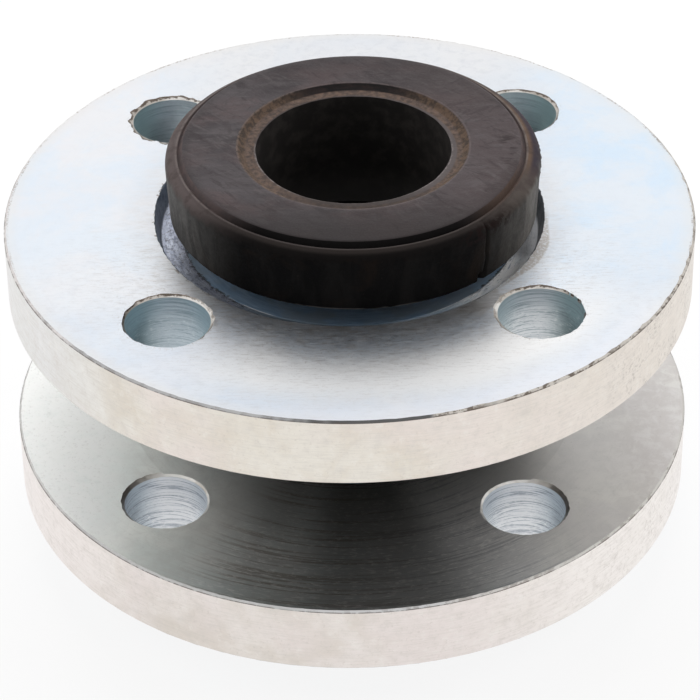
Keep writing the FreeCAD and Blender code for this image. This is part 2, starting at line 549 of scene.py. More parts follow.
def inner_tints(n, right, left, beside, mottle):
    """Broad tints of the inner face: greener at the left, and painted shade darker in the middle of the
    front.
    """
    patch = n.step(n.cloud(0.045, 3, 0.55, 0.5), 0.36, 0.66)
    dark = n.mix(right, (0.8, 0.85, 0.83), (0.77, 0.755, 0.745))
    pale = n.mix(left, (0.82, 0.81, 0.78), (0.9, 0.91, 0.88))
    middle = n.mix(right, (0.42, 0.42, 0.42), (0.43, 0.445, 0.46))
    in_front = n.step(n.y, 0, -10)
    return n.layers(
        n.mix(patch, dark, pale),
        ((0.66, 0.66, 0.645), (mottle, 0.4, 0.66, 0, 0.35)),
        # painted shade: the dark reflection of the rubber and the upper flange in the middle of the front
        (middle, (beside, 0.38, 0.1), in_front, 0.5),
        ((0.5, 0.46, 0.43), n.band(n.right, -0.66, -0.24, 0.1), in_front, 0.3),
    )


def zinc_rim(name, ivory, pale, rose, left, right):
    """The rim: ivory and rose tints in blotches, with fine brush marks that run round. The ivory is
    partly a painted warm reflection.
    """
    n = Nodes(name, ivory, 1, 0.38)
    brush = n.turned(5, n.z, 3, 4, 0.65)
    broad = n.turned(FLANGE_RADIUS, n.z, 0.09, 4, 0.6, 0.4)
    tint = n.turned(FLANGE_RADIUS, n.z, 0.035, 3, 0.5)
    mottle = n.turned(FLANGE_RADIUS, n.z, 0.35, 5, 0.7)
    grain = n.cloud(1.2, 4, 0.7)
    dirt = n.times((n.right, 0.62, 0.85), (grain, 0.5, 0.6), (broad, 0.4, 0.56))
    color = n.layers(
        # ivory base: zinc passivation tint and a painted warm reflection
        n.mix((broad, 0.34, 0.66), ivory, pale),
        (rose, (tint, 0.4, 0.64, 0, 0.8)),
        (left, (n.right, -0.55, -0.9, 0, 0.8)),
        (right, (n.right, 0.15, 0.75, 0, 0.8)),
        ((0.68, 0.65, 0.6), (brush, 0.45, 0.7, 0, 0.4)),
        ((0.66, 0.62, 0.58), (mottle, 0.46, 0.72, 0, 0.4)),
        ((0.92, 0.9, 0.86), (mottle, 0.46, 0.3, 0, 0.3)),
        ((0.6, 0.55, 0.5), (grain, 0.54, 0.72, 0, 0.4)),
        ((0.4, 0.35, 0.31), dirt, n.by_flange(0.2, 0.45)),
        ((0.4, 0.34, 0.3), (n.cloud(1.7, 3, 0.7), 0.67, 0.78), 0.25),
    )
    return n.finish(color, n.bumps((brush, 0.02), (grain, 0.012)), (brush, 0.3, 0.7, 0.32, 0.45))


def zinc_hole(name, turn, top, light, middle, dark, blue, ring_share):
    """The wall of a drilled hole: thin rings from the drill on steel that is bluer on its outer side, and
    paler lower down in the front holes as painted light.
    """
    n = Nodes(name, light, 0.65, 0.4)
    east, north = n.hole(turn)
    rings = n.noise(n.combine(n.times(east, 0.03), n.times(north, 0.03), n.z), 0.62, 2, 0.5)
    lines = n.noise(n.combine(n.times(east, 0.25), n.times(north, 0.25), n.z), 3.6, 4, 0.65)
    # painted light: the walls of the front holes get paler lower down
    deep_painted_light = n.times((n.minus(top, n.z), 1.5, 8), (n.y, 0, -20))
    side = n.math("DIVIDE", east, HOLE_RADIUS)
    beside = n.plus((side, 0.1, 0.9, 0, 0.9), (side, -0.45, -0.95, 0, 0.5))
    ring = n.plus(n.band(rings, 0.455, 0.48, 0.01), n.band(rings, 0.56, 0.59, 0.01))
    line_share = n.times((deep_painted_light, 0, 1, 0.25, 0.5), n.by_flange(0.6, 1))
    upper = n.by_flange(0, 1)
    color = n.layers(
        n.mix((lines, 0.35, 0.65), light, middle),
        # painted light lower down in the front holes
        ((0.92, 0.935, 0.95), deep_painted_light, (n.x, -20, 20, 0.35, 0.75)),
        (blue, beside),
        (dark, ring, (lines, 0.3, 0.6, 0.45, 0.95), ring_share),
        (dark, (lines, 0.55, 0.68), line_share),
        # white streaks lower down in the front holes, painted light too
        ((1, 1, 1), (lines, 0.44, 0.34), deep_painted_light, 0.6),
        ((0.28, 0.26, 0.25), (n.cloud(1.3, 4, 0.7), 0.6, 0.75), 0.2),
        ((0.34, 0.5, 0.6), upper, (n.x, -20, -30), (n.y, -20, -30), 0.3),
        ((0.8, 0.95, 0.92), upper, (n.x, 20, 30), (n.y, 20, 30), 0.14),
    )
    normal = n.bumps((rings, 0.012), (lines, 0.012))
    return n.finish(color, normal, (lines, 0.3, 0.7, 0.36, 0.46), n.by_flange(0.73, 0.65))


def zinc_seat(name):
    """The recess for the bead: lavender gray, silvery at the right as a painted reflection, with a wall
    darkened as a painted reflection of the rubber.
    """
    n = Nodes(name, (0.5, 0.53, 0.6), 0.7, 0.36)
    right = n.step(n.right, 0, 0.4)
    rings = n.turned(8, n.radius, 1.6, 4, 0.65)
    scrape = n.turned(15, n.radius, 1.5, 5, 0.74, 0.15)
    # painted reflection: the wall is dark where it mirrors the rubber, darkest at the right
    wall = n.layers(
        n.mix((scrape, 0.4, 0.6), (0.1, 0.12, 0.15), (0.26, 0.3, 0.36)),
        ((0.07, 0.078, 0.09), right),
    )
    at_wall = n.step(n.radius, RECESS_FLOOR - 0.1, RECESS_FLOOR + 0.2)
    color = n.mix(at_wall, seat_floor(n, right, rings, scrape), wall)
    normal = n.bumps((rings, 0.03), (scrape, 0.05))
    rough = n.step(scrape, 0.4, 0.7, 0.32, 0.5)
    return n.finish(color, normal, rough, (right, 0, 1, 0.7, 0))


def seat_floor(n, right, rings, scrape):
    """The floor of the recess, scraped round the ring, with specks, a painted highlight at the right, a
    dark inner edge and painted shade in front.
    """
    drawn = n.turned(4.5, n.radius, 2.2, 4, 0.7, 0.3)
    dirt = n.cloud(1.1, 4, 0.75)
    lavender = n.mix((rings, 0.4, 0.7), (0.5, 0.54, 0.66), (0.74, 0.78, 0.88))
    silver_painted_reflection = n.mix((rings, 0.4, 0.65), (0.86, 0.91, 0.95), (1, 1, 1))
    ragged = n.plus(n.radius, (dirt, 0.3, 0.7, -0.5, 0.5))
    worn = n.times((ragged, 36.75, 36.5), (n.size(n.right), 0.6, 0.7))
    return n.layers(
        # silvery at the right: painted reflection of the bright surroundings
        n.mix(right, lavender, silver_painted_reflection),
        ((0.18, 0.2, 0.28), (scrape, 0.48, 0.6), (right, 0, 1, 0.7, 0.15)),
        ((0.24, 0.28, 0.36), (drawn, 0.52, 0.62), right, 0.6),
        ((0.3, 0.3, 0.32), (n.right, 0.93, 0.96), 0.7),
        ((0.12, 0.11, 0.11), (dirt, 0.56, 0.66), (right, 0, 1, 0.8, 0.35)),
        # painted highlight: a white gleam on the floor at the right
        ((1, 1, 1), n.band(n.right, 0.8, 0.93, 0.03), (drawn, 0.62, 0.52)),
        ((0.06, 0.05, 0.05), worn, (right, 0, 1, 0.8, 0.3)),
        # painted shade: steel blue in front, where the bead shades the floor
        ((0.36, 0.45, 0.55), (n.back, -0.72, -0.86), 0.9),
    )


def zinc_cone(name):
    """The cone that takes the bead's back: smooth, painted steel blue for its look in the bead's shade,
    with a painted highlight along its edge at both sides.
    """
    n = Nodes(name, (0.4, 0.56, 0.74), 0.35, 0.42, 0.6)
    rings = n.turned(6, n.radius, 1.2, 4, 0.6)
    patch = n.step(n.cloud(0.35, 3, 0.6), 0.34, 0.46)
    beside = n.size(n.right)
    line = n.band(n.radius, CONE_START - 0.12, CONE_START + 0.14, 0.05)
    ragged = n.plus(n.radius, (n.cloud(0.8, 4, 0.7), 0.3, 0.7, -0.5, 0.5))
    color = n.layers(
        # painted shade: steel blue for the cone in the bead's shade
        n.mix((rings, 0.35, 0.7), (0.3, 0.46, 0.66), (0.46, 0.62, 0.82)),
        ((0.38, 0.46, 0.54), (n.cloud(0.09, 3, 0.6), 0.42, 0.62, 0, 0.7)),
        # painted highlight: a thin bright line along the cone's edge at both sides
        ((0.9, 0.95, 1), line, patch, n.band(beside, 0.46, 0.7, 0.06)),
        ((0.06, 0.055, 0.055), (ragged, 36, 36.2), (beside, 0.66, 0.76), 0.85),
    )
    return n.finish(color, n.bumps((rings, 0.02)))


def zinc_rim_edge(name, top, far_left, left, middle, right):
    """The broken edge of the rim: four tones from left to right that paint light and shade on it, a thin
    dark line and brown burrs.
    """
    n = Nodes(name, middle, 1, 0.45)
    wander = n.cloud(0.1, 3, 0.6)
    grain = n.turned(30, n.z, 1.1, 4, 0.7)
    across = n.plus(n.math("DIVIDE", n.x, FLANGE_RADIUS), (wander, 0.3, 0.7, -0.12, 0.12))
    line = n.times(n.band(n.minus(top, n.z), 0.36, 0.6, 0.05), (grain, 0.36, 0.5))
    burr = n.times((grain, 0.49, 0.57), (wander, 0.38, 0.5), (across, -0.2, 0.3, 0.3, 1))
    color = n.layers(
        # painted light and shade: the edge's tone changes from left to right with how light falls on it
        n.mix((across, -0.9, -0.68), far_left, left),
        (middle, (across, -0.35, -0.12)),
        (right, (across, 0.15, 0.32)),
        ((0.12, 0.1, 0.09), line, (wander, 0.36, 0.5, 0.5, 1), 0.75),
        ((0.12, 0.092, 0.072), burr, n.by_flange(0.45, 1), 0.85),
    )
    return n.finish(color, n.bumps((grain, 0.08)))


def zinc_hole_edge(name, turn, top, cream):
    """The chamfer of a bolt hole: pale on the side toward the axis, grayer outside, with burrs."""
    n = Nodes(name, cream, 1, 0.42)
    side = n.math("DIVIDE", n.hole(turn)[0], HOLE_RADIUS)
    broad = n.cloud(0.13, 3, 0.6)
    grain = n.cloud(0.8, 4, 0.7)
    outer = n.step(n.plus(n.minus(top, n.z), (grain, 0.3, 0.7, -0.16, 0.16)), 0.3, 0.16)
    burr = n.times(outer, (broad, 0.32, 0.44, 0.4, 1), n.by_flange(0.15, 1))
    brown = n.mix((grain, 0.4, 0.6), (0.085, 0.062, 0.048), (0.2, 0.155, 0.125))
    color = n.layers(
        cream,
        ((0.42, 0.37, 0.33), (side, 0, 0.7), 0.55),
        ((0.4, 0.37, 0.33), (broad, 0.42, 0.58, 0, 0.7)),
        (brown, burr, (side, -0.8, -0.45, 0.6, 1), 0.9),
    )
    return n.finish(color, n.bumps((grain, 0.1)))


# Materials of the rubber
def rubber_face(name):
    """The sealing face with its stepped mouth: dusty purple black with brown bloom in the mouth."""
    n = Nodes(name, (0.05, 0.045, 0.046), 0, 0.55, 0.16, bends=True)
    n.follow_lean()
    streak = n.noise(n.drawn(0.22), 0.6, 5, 0.62, 0.8)
    slant = n.combine(n.plus(n.x, n.y), n.times(n.minus(n.x, n.y), 0.2), 3)
    slanted = n.noise(slant, 0.45, 5, 0.66, 0.6)
    swirl = n.turned(10, n.radius, 0.9, 4, 0.6)
    grain = n.cloud(2.2, 4, 0.7)
    mottle = n.cloud(0.8, 5, 0.68, 0.3)
    brim = n.minus(n.radius, (n.right, -0.8, -0.2, 0.4, 0))
    edge = n.times(n.band(n.radius, 24.8, 25.2, 0.08), (mottle, 0.36, 0.55, 0.1, 0.6))
    color = n.layers(
        mouth_lip(n, mottle),
        (mouth_wall(n, streak, mottle), (n.radius, 23.3, 23.5)),
        (face_rubs(n, face_bloom(n, streak, slanted, swirl, grain)), (brim, 24.7, 24.85)),
        ((0.14, 0.112, 0.105), edge, 0.6),
    )
    normal = n.bumps((streak, 0.05), (slanted, 0.05), (swirl, 0.04), (grain, 0.035))
    return n.finish(color, normal, (grain, 0.3, 0.7, 0.5, 0.68))


def face_bloom(n, streak, slanted, swirl, grain):
    """The dusty bloom on the sealing face, smeared one way and the other."""
    cloud = n.cloud(0.06, 4, 0.6, 0.5)
    patch = n.cloud(0.14, 5, 0.62, 0.8)
    bloom = n.noise(n.combine(n.x, n.times(n.y, 1.6), 31), 0.045, 4, 0.6)
    spokes = n.turned(26, n.times(n.radius, 0.25), 0.4, 4, 0.62, 1.6)
    return n.layers(
        n.mix((cloud, 0.36, 0.64), (0.034, 0.029, 0.031), (0.06, 0.053, 0.056)),
        ((0.062, 0.047, 0.048), (n.x, 0, 30, 0, 0.7)),
        ((0.074, 0.053, 0.053), (bloom, 0.46, 0.64, 0, 0.7)),
        ((0.09, 0.08, 0.082), (streak, 0.42, 0.72), (patch, 0.35, 0.6), 0.6),
        ((0.098, 0.087, 0.088), (slanted, 0.52, 0.66), (cloud, 0.6, 0.4), 0.5),
        ((0.024, 0.019, 0.02), (slanted, 0.46, 0.34), 0.5),
        ((0.022, 0.017, 0.018), (spokes, 0.54, 0.68), (n.right, 0, 0.6), 0.45),
        ((0.026, 0.021, 0.022), (swirl, 0.55, 0.8, 0, 0.5)),
        ((0.026, 0.02, 0.021), (patch, 0.56, 0.7, 0, 0.4)),
        ((0.11, 0.096, 0.094), (grain, 0.6, 0.75), 0.35),
    )


def face_rubs(n, color):
    """Darker places on the sealing face: painted shade in front and along the outer edge at the left,
    darker at the back, and creases worn at the right.
    """
    crease = n.noise(n.combine(n.times(n.x, 0.3), n.y, 5), 0.5, 3, 0.6, 0.9)
    worn = n.times(n.band(n.x, 31.5, 35, 1.5), (n.size(n.plus(n.y, 4)), 9, 4))
    dull = n.times((n.radius, 32.5, 35.5), (n.right, 0.68, 0.84), (n.back, -0.1, -0.3))
    return n.layers(
        color,
        # painted shade: the front of the face darker
        ((0.018, 0.015, 0.015), (n.y, -35, -16, 0.85, 0)),
        ((0.028, 0.023, 0.024), (n.y, 22, 32, 0, 0.45)),
        ((0.014, 0.01, 0.01), (crease, 0.5, 0.6), worn, 0.75),
        # painted shade: the flat darker toward its outer edge at the left, where it rounds down to the
        # groove
        ((0.03, 0.025, 0.026), (n.radius, 34.4, 36.4), (n.right, -0.4, -0.8), 0.4),
        ((0.04, 0.034, 0.034), (n.x, 5, 18), (n.y, 8, 20), 0.4),
        ((0.03, 0.023, 0.023), dull, 0.5),
    )


def mouth_lip(n, mottle):
    """The flat lip in the mouth: brown bloom, grayer inside, rubbed at its edge, darker in front as
    painted shade.
    """
    lip_width = n.step(n.minus(n.right, n.back), -0.4, 2.1, 21.3, 22.8)
    from_lip = n.minus(n.radius, lip_width)
    gray = n.mix((n.right, -0.6, 0.3), (0.052, 0.044, 0.044), (0.078, 0.068, 0.069))
    rub = n.times((n.radius, 21.5, 21.25), (mottle, 0.42, 0.55), (n.back, 0.3, -0.1))
    return n.layers(
        n.mix((mottle, 0.36, 0.66), (0.046, 0.034, 0.03), (0.112, 0.076, 0.058)),
        (gray, (from_lip, 0.25, -0.25), 0.85),
        ((0.17, 0.15, 0.148), rub, 0.7),
        # painted shade: the lip darker in front
        ((0.028, 0.022, 0.02), (n.back, -0.6, -0.97), 0.7),
    )


def mouth_wall(n, streak, mottle):
    """The step down into the mouth: black in front and at the back, brown at both sides."""
    dark = n.mix((streak, 0.4, 0.7), (0.006, 0.005, 0.005), (0.02, 0.013, 0.012))
    bright = n.mix((mottle, 0.36, 0.62), (0.034, 0.025, 0.02), (0.092, 0.06, 0.042))
    return n.mix((n.size(n.right), 0.35, 0.75), dark, bright)


def rubber_side(name):
    """The rubber's other skins: near black in front, lighter gray at both sides, a thin ridge on top with
    a painted highlight, painted shade on the bead's top in front, and a painted highlight along its lower
    edge in front.
    """
    n = Nodes(name, (0.008, 0.0075, 0.007), 0, 0.6, 0.05, bends=True)
    n.follow_lean()
    turn = n.angle()
    right = n.step(n.right, -0.2, 0.4)
    smear = n.noise(n.combine(n.x, n.y, n.times(n.z, 0.35)), 0.16, 5, 0.65, 0.6)
    mottle = n.cloud(0.32, 4, 0.65)
    grain = n.cloud(1.3, 4, 0.7)
    scab = n.step(n.cloud(0.62, 4, 0.65), 0.44, 0.51)
    level = n.plus(n.z, (mottle, 0.3, 0.7, -0.6, 0.6))
    foot = n.times(n.band(n.z, SIDE_FOOT, 80, 0.12), (n.back, -0.9, -0.97), (smear, 0.4, 0.5))
    color = n.layers(
        bead_skin(n, right, smear, grain),
        (bead_top(n, right, turn, mottle), (level, HEIGHT - SHOULDER_DEPTH, HEIGHT - 2.2)),
        ((0.01, 0.0055, 0.005), n.band(turn, -56, -37, 5), n.band(n.z, 90.2, 93.2, 0.7), scab, 0.85),
        ((0.02, 0.016, 0.022), (n.radius, 40.32, 40.45), (n.right, 0.6, 0.8)),
        # painted highlight: a thin pale line along the bead's lower edge in front
        ((0.09, 0.085, 0.085), foot),
    )
    return n.finish(color, n.bumps((smear, 0.1), (grain, 0.05)), (grain, 0.3, 0.7, 0.5, 0.7))


def bead_skin(n, right, smear, grain):
    """The skin below the bead's top: near black, with brown stains, and lighter gray toward both sides.
    """
    stain = n.cloud(0.09, 4, 0.6, 0.8)
    beside = n.step(n.size(n.x), 22, 39.5)
    gray = n.mix(right, (0.108, 0.103, 0.098), (0.15, 0.138, 0.126))
    return n.layers(
        n.mix((smear, 0.42, 0.7), (0.0018, 0.0016, 0.0016), (0.0065, 0.0058, 0.0055)),
        ((0.011, 0.007, 0.005), (stain, 0.52, 0.7, 0, 0.6)),
        (gray, beside, beside, (smear, 0.35, 0.65, 0.45, 1), 0.9),
        ((0.035, 0.03, 0.026), (grain, 0.6, 0.75), 0.25),
    )


def bead_top(n, right, turn, mottle):
    """The groove, the ridge and the shoulder round the sealing face, browner toward the right, with a
    painted highlight on the ridge and painted shade over all three in front.
    """
    ahead = n.step(n.back, -0.4, -0.84)
    soft = n.step(n.radius, RIDGE_RADIUS + 0.3, RIDGE_RADIUS + 1.5, 1, 0)
    shade = n.mix(n.times(soft, 0.8), (0.005, 0.0042, 0.004), (0.034, 0.028, 0.026))
    shoulder = n.layers(
        n.mix(right, (0.086, 0.07, 0.068), (0.072, 0.06, 0.054)),
        ((0.105, 0.07, 0.05), n.band(turn, -14, 40, 8)),
        ((0.034, 0.028, 0.036), (n.radius, 38.6, 39.3), n.band(turn, -16, 40, 8)),
        ((0.05, 0.043, 0.042), (n.back, 0.3, 0.6), 0.5),
        ((0.045, 0.034, 0.032), (mottle, 0.46, 0.66, 0, 0.5)),
        # painted shade: the shoulder near black just under the ridge in front
        (shade, ahead),
    )
    ridge = n.layers(
        # painted highlight: the ridge paler than the rubber round it
        n.mix(right, (0.125, 0.104, 0.1), (0.14, 0.114, 0.102)),
        ((0.072, 0.052, 0.044), n.band(turn, -50, -12, 8)),
        ((0.055, 0.043, 0.04), (mottle, 0.48, 0.64, 0, 0.6)),
        # painted shade: the ridge darker in front
        ((0.036, 0.031, 0.03), ahead, 0.85),
    )
    return n.layers(
        n.mix((mottle, 0.4, 0.65), (0.062, 0.05, 0.05), (0.08, 0.06, 0.058)),
        ((0.064, 0.044, 0.036), n.band(turn, -48, -18, 8)),
        # painted shade: the groove near black in front
        ((0.004, 0.0035, 0.0035), (n.back, -0.52, -0.86)),
        (ridge, (n.radius, RIDGE_RADIUS - 0.3, RIDGE_RADIUS - 0.15)),
        (shoulder, (n.radius, RIDGE_RADIUS + 0.15, RIDGE_RADIUS + 0.35)),
    )


def rubber_bore(name):
    """The inner tube: smooth and black, with a faint gray film, and paler toward its middle as painted
    light.
    """
    n = Nodes(name, (0.012, 0.011, 0.011), 0, 0.5, 0.12, bends=True)
    grain = n.cloud(0.3, 4, 0.6)
    color = n.layers(
        n.mix((grain, 0.4, 0.7), (0.016, 0.0145, 0.014), (0.03, 0.027, 0.025)),
        # painted light: the tube paler toward its middle
        ((0.115, 0.11, 0.106), (n.z, 78, 60)),
    )
    return n.finish(color, n.bumps((grain, 0.05)))


# The flanges
def flange_profile():
    """The section of a flange with its outer face at height 0, in mm."""
    inner_face = -FLANGE_THICKNESS + RELIEF_DEPTH
    flare = (BORE_RADIUS + FLARE_RADIUS, inner_face + FLARE_RADIUS)
    return [
        (FLANGE_RADIUS - EDGE_CHAMFER, 0),
        (RECESS_MOUTH + 0.22, 0),
        (RECESS_MOUTH - 0.02, -0.22),
        (RECESS_FLOOR + 0.06, -RECESS_DEPTH + 0.2),
        (RECESS_FLOOR - 0.16, -RECESS_DEPTH),
        (CONE_START + 0.14, -RECESS_DEPTH),
        (CONE_START, -RECESS_DEPTH + 0.03),
        (CONE_START - 0.14, -RECESS_DEPTH - 0.02),
        (BORE_RADIUS, -CONE_END),
        *arc_points(flare, FLARE_RADIUS, 180, 270, 10),
        (RELIEF_RADIUS - 0.05, inner_face),
        (RELIEF_RADIUS + 0.1, -FLANGE_THICKNESS),
        (FLANGE_RADIUS - EDGE_CHAMFER, -FLANGE_THICKNESS),
        (FLANGE_RADIUS - RIM_INSET, -FLANGE_THICKNESS + EDGE_CHAMFER),
        (FLANGE_RADIUS - RIM_INSET, -EDGE_CHAMFER),
    ]


def hole_profile():
    """The section of the hole cutter: chamfers at both faces and shallow drill rings between."""
    past = 1
    slope = 0.18
    foot = -FLANGE_THICKNESS + INNER_HOLE_CHAMFER
    points = [(0, past), (HOLE_RADIUS + OUTER_HOLE_CHAMFER + past, past)]
    points.append((HOLE_RADIUS + 0.02, -OUTER_HOLE_CHAMFER))
    depth = -OUTER_HOLE_CHAMFER
    chance = random.Random(5)
    while depth > foot + 1.4:
        depth -= chance.uniform(0.5, 0.9)
        points.append((HOLE_RADIUS + chance.uniform(0, 0.02), depth))
        depth -= slope
        points.append((HOLE_RADIUS + chance.uniform(0.015, 0.035), depth))
        depth -= slope
        points.append((HOLE_RADIUS + 0.01, depth))
    points.append((HOLE_RADIUS + 0.02, foot))
    points.append((HOLE_RADIUS + INNER_HOLE_CHAMFER + past, -FLANGE_THICKNESS - past))
    points.append((0, -FLANGE_THICKNESS - past))
    return points


def fray_chamfer(points, index):
    """Moves the cutter's end rings, so that the chamfer's edge is lumpy, burred and a little aside."""
    aside, lumps = CHAMFER_OFFSETS[index], CHAMFER_LUMPS[index]
    for vertex in points:
        x, y, z = (value / MM for value in vertex.co)
        radius = math.hypot(x, y)
        if radius < HOLE_RADIUS / 2 or -FLANGE_THICKNESS - 0.5 < z < 0.5:
            continue
        outer = z > 0
        lump = max(0, wave(x, y, 0.42, 3 * index) + 0.35)
        push = (2.2 * lumps * lump if outer else 0) + 0.45 * wave(x, y, 0.9, 7 + index)
        scale = (radius + push) / radius
        vertex.co.x = (x * scale + aside[0] * outer) * MM
        vertex.co.y = (y * scale + aside[1] * outer) * MM


def make_cutter():
    """Four hole cutters in one object, each frayed in its own way."""
    cutter = lathe("hole_cutter", hole_profile(), even_turns(128), closed=False)
    mesh = bmesh.new()
    mesh.from_mesh(cutter.data)
    bmesh.ops.remove_doubles(mesh, verts=mesh.verts, dist=1e-6)
    single = mesh.verts[:] + mesh.edges[:] + mesh.faces[:]
    for index in range(4):
        part = bmesh.ops.duplicate(mesh, geom=single)["geom"] if index < 3 else single
        points = [item for item in part if isinstance(item, bmesh.types.BMVert)]
        fray_chamfer(points, index)
        turn = math.radians(45 + 90 * index)
        shift = Vector((math.cos(turn), math.sin(turn), 0)) * HOLE_CIRCLE * MM
        bmesh.ops.translate(mesh, verts=points, vec=shift)
    bmesh.ops.recalc_face_normals(mesh, faces=mesh.faces)
    mesh.to_mesh(cutter.data)
    mesh.free()
    return cutter


def cut_holes(flange):
    cutter = make_cutter()
    outward(flange)
    cut = flange.modifiers.new("holes", "BOOLEAN")
    cut.operation = "DIFFERENCE"
    cut.solver = "EXACT"
    cut.object = cutter
    bpy.context.view_layer.update()
    evaluated = flange.evaluated_get(bpy.context.evaluated_depsgraph_get())
    mesh = bpy.data.meshes.new_from_object(evaluated)
    flange.modifiers.clear()
    flange.data = mesh
    bpy.data.objects.remove(cutter)


def ragged_edges(flange, seed):
    """Edge lines wander a little within their own faces, as burred and worn edges do."""
    for vertex in flange.data.vertices:
        x, y, z = (value / MM for value in vertex.co)
        if abs(z) > 0.01 and abs(z + FLANGE_THICKNESS) > 0.01:
            continue
        radius = math.hypot(x, y)
        rough = wave(x, y, 0.9, seed)
        broad = wave(x, y, 0.07, seed + 9)
        if abs(radius - FLANGE_RADIUS + EDGE_CHAMFER) < 0.02:
            move = rough * (0.12 + 0.22 * max(0, broad + 0.15))
            if z > -1:
                move -= 0.6 * max(0, wave(x, y, 0.35, seed + 2)) * smooth_share(x, 0, 30)
            widen(vertex, 1 + (move - RIM_INSET) / radius)
        elif abs(radius - RECESS_MOUTH - 0.22) < 0.05:
            widen(vertex, 1 + (0.25 * rough + 0.2 * max(0, broad)) / radius)


def region(x, y, z, normal_z):
    """The number of the material for a face of the flange, by its middle and its slope."""
    radius = math.hypot(x, y)
    middle = HOLE_CIRCLE / math.sqrt(2)
    away = math.hypot(abs(x) - middle, abs(y) - middle)
    level = abs(normal_z)
    if away < HOLE_RADIUS + 0.25 and level < 0.6:
        return HOLE_WALL
    if away < HOLE_RADIUS + 1.6 and level < 0.97:
        return HOLE_EDGE
    if radius > FLANGE_RADIUS - EDGE_CHAMFER - 0.3 and 0.2 < level < 0.95:
        return RIM_EDGE
    if radius > FLANGE_RADIUS - 0.1:
        return RIM
    if z > -0.05:
        return OUTER_FACE
    if z < -FLANGE_THICKNESS + RELIEF_DEPTH + 0.05:
        return INNER_FACE
    if radius > CONE_START + 0.16 or radius < BORE_RADIUS + 0.01:
        return SEAT
    return CONE


def make_flange(name, seed, materials):
    """A turned flange with its outer face at height 0: section, bolt holes, worn edges."""
    flange = lathe(name, flange_profile(), even_turns(384))
    cut_holes(flange)
    ragged_edges(flange, seed)
    for material in materials:
        flange.data.materials.append(material)
    for face in flange.data.polygons:
        x, y, z = (value / MM for value in face.center)
        face.material_index = region(x, y, z, face.normal.z)
    smooth(flange, 16)
    return flange


def place_flange(flange, height, flip, turn):
    """Moves the mesh itself, so that the object stays at the origin."""
    matrix = Matrix.Translation((0, 0, height * MM)) @ Matrix.Rotation(math.radians(turn), 4, "Z")
    if flip:
        matrix = matrix @ Matrix.Scale(-1, 4, (0, 0, 1))
    flange.data.transform(matrix)
    if flip:
        flange.data.flip_normals()
    flange.data.update()


def flange_materials(prefix, turn, top, rim, hole, rim_edge):
    """The materials of a flange, in the order of their numbers. Top is the height of its upper side."""
    return [
        zinc_face(prefix + "_outer_face", turn),
        zinc_inner(prefix + "_inner_face"),
        zinc_rim(prefix + "_rim", *rim),
        zinc_hole(prefix + "_hole_walls", turn, top, *hole),
        zinc_seat(prefix + "_seat"),
        zinc_rim_edge(prefix + "_rim_edges", top, *rim_edge),
        zinc_hole_edge(prefix + "_hole_edges", turn, top, (0.74, 0.72, 0.69)),
        zinc_cone(prefix + "_cone"),
    ]


# The rubber bellows
def bead_outline():
    """The upper bead's section from the neck over its side and shoulder to the groove."""
    back = HEIGHT - BEAD_THICKNESS
    ridge = HEIGHT - RIDGE_DEPTH
    groove = HEIGHT - GROOVE_DEPTH
    shoulder = HEIGHT - SHOULDER_DEPTH
    side_start = (BEAD_RADIUS, back + 0.5)
    return [
        (NECK_RADIUS, back - CONE_DROP - 0.2),
        (NECK_RADIUS + 0.35, back - CONE_DROP + 0.02),
        (CONE_START - 0.2, back - 0.1),
        (CONE_START + 0.25, back),
        (BEAD_RADIUS - 0.7, back),
        (BEAD_RADIUS - 0.28, back + 0.1),
        side_start,
        *spread(side_start, (SHOULDER_RADIUS, shoulder), 18),
        *arc_points((SHOULDER_RADIUS - SHOULDER_ROUND, shoulder), SHOULDER_ROUND, 0, 70, 9),
        (RIDGE_RADIUS + 0.42, ridge - 0.16),
        (RIDGE_RADIUS + 0.2, ridge),
        (RIDGE_RADIUS, ridge + 0.04),
        (RIDGE_RADIUS - 0.22, ridge - 0.06),
        (RIDGE_RADIUS - 0.42, groove),
        (RIDGE_RADIUS - 0.62, groove),
    ]


def face_outline():
    """The sealing face's section from the groove over the stepped mouth to the bore."""
    lip = HEIGHT - MOUTH_DEPTH
    face_start = (FACE_RADIUS - 0.5, HEIGHT)
    face_end = (MOUTH_RADIUS + 0.2, HEIGHT)
    return [
        (FACE_RADIUS + 0.42, HEIGHT - 1),
        (FACE_RADIUS + 0.2, HEIGHT - 0.45),
        (FACE_RADIUS - 0.05, HEIGHT - 0.12),
        face_start,
        *spread(face_start, face_end, 12),
        face_end,
        (MOUTH_RADIUS - 0.05, HEIGHT - 0.1),
        (MOUTH_RADIUS - 0.4, HEIGHT - 0.45),
        (LIP_RADIUS + 0.15, lip + 0.05),
        (LIP_RADIUS - 0.25, lip - 0.06),
        (LIP_RADIUS - 0.6, lip - 0.02),
        (TUBE_RADIUS + 1, lip),
        (TUBE_RADIUS + 0.55, lip + 0.03),
        (TUBE_RADIUS + 0.2, lip),
        (TUBE_RADIUS + 0.04, lip - 0.1),
        (TUBE_RADIUS, lip - 0.45),
    ]


